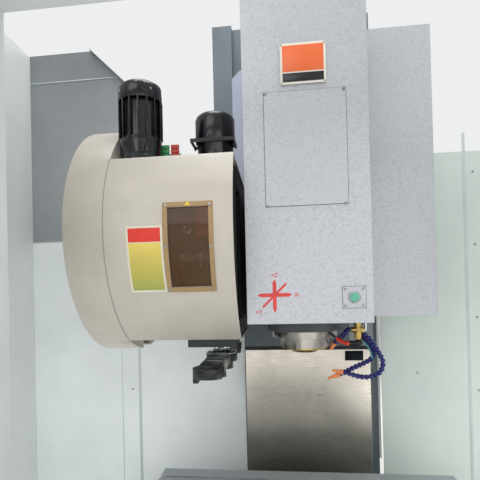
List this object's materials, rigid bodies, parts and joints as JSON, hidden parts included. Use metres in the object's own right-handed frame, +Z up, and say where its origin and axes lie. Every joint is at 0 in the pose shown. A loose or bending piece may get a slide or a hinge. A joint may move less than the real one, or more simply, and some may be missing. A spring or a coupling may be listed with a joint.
{
  "type": "cnc machining center",
  "caption": "Vertical machining center with a boxed head, a round arm-type tool magazine, telescopic way covers, a slotted table and a sliding-door enclosure.",
  "frame": {"origin": "middle of the footprint on the floor", "axes": "+X to the operator's right, +Y to the rear, +Z up"},
  "size_m": [2.8, 2.7693, 3.05],
  "materials": {
    "bed_iron": "painted casting",
    "foot_steel": "blackened",
    "column_paint": "painted casting",
    "rail_steel": "ground",
    "motor_paint": "gloss",
    "case_paint": "satin powder coat",
    "wall_paint": "satin powder coat",
    "rail_grey": "satin",
    "door_glass": "clear",
    "drum_paint": "satin",
    "bronze_plastic": "satin",
    "amber_pane": "clear tint",
    "black_plastic": "moulded",
    "gear_iron": "rough",
    "black_steel": "satin",
    "disc_steel": "machined",
    "pot_plastic": "moulded",
    "way_steel": "brushed",
    "table_iron": "ground",
    "head_paint": "hammertone",
    "green_plastic": "moulded",
    "apron_paint": "satin",
    "bright_steel": "ground",
    "spindle_steel": "ground",
    "valve_brass": "turned",
    "chrome_plate": "polished",
    "hose_blue": "moulded",
    "hose_red": "extruded",
    "red_plastic": "moulded"
  },
  "bodies": {
    "root": {"bed": "bed_iron", "leveling_feet": "foot_steel", "column": "column_paint", "linear_rails": "rail_steel", "axis_motors": "motor_paint", "chip_tray": "case_paint", "side_walls": "case_paint", "rear_walls": "wall_paint", "front_frame": "case_paint", "door_rails": "rail_grey", "coolant_tank": "case_paint", "electrical_cabinet": "case_paint", "magazine_bracket": "column_paint", "magazine_cover": "drum_paint", "window_frame": "bronze_plastic", "window_pane": "amber_pane", "magazine_motor": "motor_paint", "fan_cowl": "motor_paint", "arm_gearbox": "gear_iron", "arm_motor": "motor_paint", "way_cover_fixed": "way_steel", "pendant_arm": "rail_grey"},
    "saddle_body": {"saddle": "bed_iron", "x_motor": "motor_paint", "y_way_covers": "way_steel"},
    "table_body": {"table": "table_iron"},
    "x_screw_body": {"x_screw": "rail_steel"},
    "y_screw_body": {"y_screw": "rail_steel"},
    "z_screw_body": {"z_screw": "rail_steel"},
    "head": {"head_casting": "gear_iron", "head_cover": "head_paint", "cover_plates": "head_paint", "side_cover": "head_paint", "apron": "apron_paint", "spindle_cartridge": "bright_steel", "spindle_motor": "motor_paint", "coolant_valve": "valve_brass", "coolant_hoses": "hose_blue", "air_hoses": "hose_red"},
    "spindle_body": {"spindle": "spindle_steel"},
    "green_button": {"push_button": "green_plastic"},
    "lever": {"valve_lever": "chrome_plate"},
    "magazine": {"magazine_disc": "disc_steel", "tool_pots": "pot_plastic"},
    "change_pot": {"station_pot": "pot_plastic"},
    "lift_shaft": {"arm_shaft": "rail_steel"},
    "arm": {"swing_arm": "black_steel"},
    "fan": {"motor_fan": "black_plastic"},
    "brake": {"brake_lever": "black_steel"},
    "cover_upper": {"way_cover_upper": "way_steel"},
    "cover_middle": {"way_cover_middle": "way_steel"},
    "cover_lower": {"way_cover_lower": "way_steel"},
    "door_left": {"left_door": "case_paint", "left_door_window": "door_glass"},
    "door_right": {"right_door": "case_paint", "right_door_window": "door_glass"},
    "cabinet_hatch": {"cabinet_door": "case_paint"},
    "pendant": {"control_box": "case_paint"},
    "jog_wheel": {"handwheel": "black_plastic"},
    "emergency_stop": {"stop_button": "red_plastic"}
  },
  "joints": [
    {"name": "y_slide", "type": "slide", "parent": "root", "child": "saddle_body", "axis": [0, 1, 0], "range_m": [-0.25, 0.25]},
    {"name": "x_slide", "type": "slide", "parent": "saddle_body", "child": "table_body", "axis": [1, 0, 0], "range_m": [-0.45, 0.45]},
    {"name": "z_slide", "type": "slide", "parent": "root", "child": "head", "axis": [0, 0, 1], "range_m": [-0.42, 0.05]},
    {"name": "y_screw_turn", "type": "hinge", "parent": "root", "child": "y_screw_body", "pos_m": [0, -0.3, 0.5], "axis": [0, 1, 0], "range_deg": [-9100, 9100]},
    {"name": "x_screw_turn", "type": "hinge", "parent": "saddle_body", "child": "x_screw_body", "pos_m": [0, -0.34, 0.658], "axis": [1, 0, 0], "range_deg": [-16300, 16300]},
    {"name": "z_screw_turn", "type": "hinge", "parent": "root", "child": "z_screw_body", "pos_m": [0, 0.31, 1.9], "axis": [0, 0, 1], "range_deg": [-15200, 1900]},
    {"name": "spindle_turn", "type": "hinge", "parent": "head", "child": "spindle_body", "pos_m": [0, -0.34, 1.43], "axis": [0, 0, 1], "continuous": true},
    {"name": "button_press", "type": "slide", "parent": "head", "child": "green_button", "axis": [0, 1, 0], "range_m": [0, 0.006], "stiffness_N_per_m": 1500},
    {"name": "lever_turn", "type": "hinge", "parent": "head", "child": "lever", "pos_m": [0.18, -0.45, 1.516], "axis": [1, 0, 0], "range_deg": [0, 90]},
    {"name": "magazine_turn", "type": "hinge", "parent": "root", "child": "magazine", "pos_m": [-0.61, -0.34, 1.846], "axis": [1, 0, 0], "range_deg": [-360, 360]},
    {"name": "pot_tip", "type": "hinge", "parent": "magazine", "child": "change_pot", "pos_m": [-0.61, -0.34, 1.516], "axis": [0, -1, 0], "range_deg": [0, 90]},
    {"name": "arm_drop", "type": "slide", "parent": "root", "child": "lift_shaft", "axis": [0, 0, 1], "range_m": [-0.115, 0]},
    {"name": "arm_turn", "type": "hinge", "parent": "lift_shaft", "child": "arm", "pos_m": [-0.305, -0.34, 1.41], "axis": [0, 0, 1], "range_deg": [0, 180]},
    {"name": "fan_turn", "type": "hinge", "parent": "root", "child": "fan", "pos_m": [-0.518, -0.59, 2.28], "axis": [0, 0, 1], "continuous": true},
    {"name": "brake_release", "type": "hinge", "parent": "root", "child": "brake", "pos_m": [-0.292, -0.48, 2.145], "axis": [1, 0, 0], "range_deg": [-6, 6]},
    {"name": "cover_upper_slide", "type": "slide", "parent": "root", "child": "cover_upper", "axis": [0, 0, 1], "range_m": [-0.34, 0.045]},
    {"name": "cover_middle_slide", "type": "slide", "parent": "root", "child": "cover_middle", "axis": [0, 0, 1], "range_m": [-0.235, 0.03]},
    {"name": "cover_lower_slide", "type": "slide", "parent": "root", "child": "cover_lower", "axis": [0, 0, 1], "range_m": [-0.13, 0.02]},
    {"name": "left_door_slide", "type": "slide", "parent": "root", "child": "door_left", "axis": [1, 0, 0], "range_m": [0, 0.7]},
    {"name": "right_door_slide", "type": "slide", "parent": "root", "child": "door_right", "axis": [-1, 0, 0], "range_m": [0, 0.7]},
    {"name": "cabinet_swing", "type": "hinge", "parent": "root", "child": "cabinet_hatch", "pos_m": [-0.556, 1.3523, 1.3], "axis": [0, 0, 1], "range_deg": [0, 110]},
    {"name": "pendant_swivel", "type": "hinge", "parent": "root", "child": "pendant", "pos_m": [1.05, -1.325, 1.75], "axis": [0, 0, 1], "range_deg": [-30, 30]},
    {"name": "handwheel_turn", "type": "hinge", "parent": "pendant", "child": "jog_wheel", "pos_m": [1.18, -1.37, 1.27], "axis": [0, 1, 0], "continuous": true},
    {"name": "stop_press", "type": "slide", "parent": "pendant", "child": "emergency_stop", "axis": [0, 1, 0], "range_m": [0, 0.005], "stiffness_N_per_m": 2000}
  ],
  "couplings": [
    {"joint": "y_screw_turn", "follows": "y_slide", "rad_per_m": 628.32},
    {"joint": "x_screw_turn", "follows": "x_slide", "rad_per_m": 628.32},
    {"joint": "z_screw_turn", "follows": "z_slide", "rad_per_m": 628.32},
    {"joint": "cover_upper_slide", "follows": "z_slide", "ratio": 0.8},
    {"joint": "cover_middle_slide", "follows": "z_slide", "ratio": 0.55},
    {"joint": "cover_lower_slide", "follows": "z_slide", "ratio": 0.3}
  ]
}
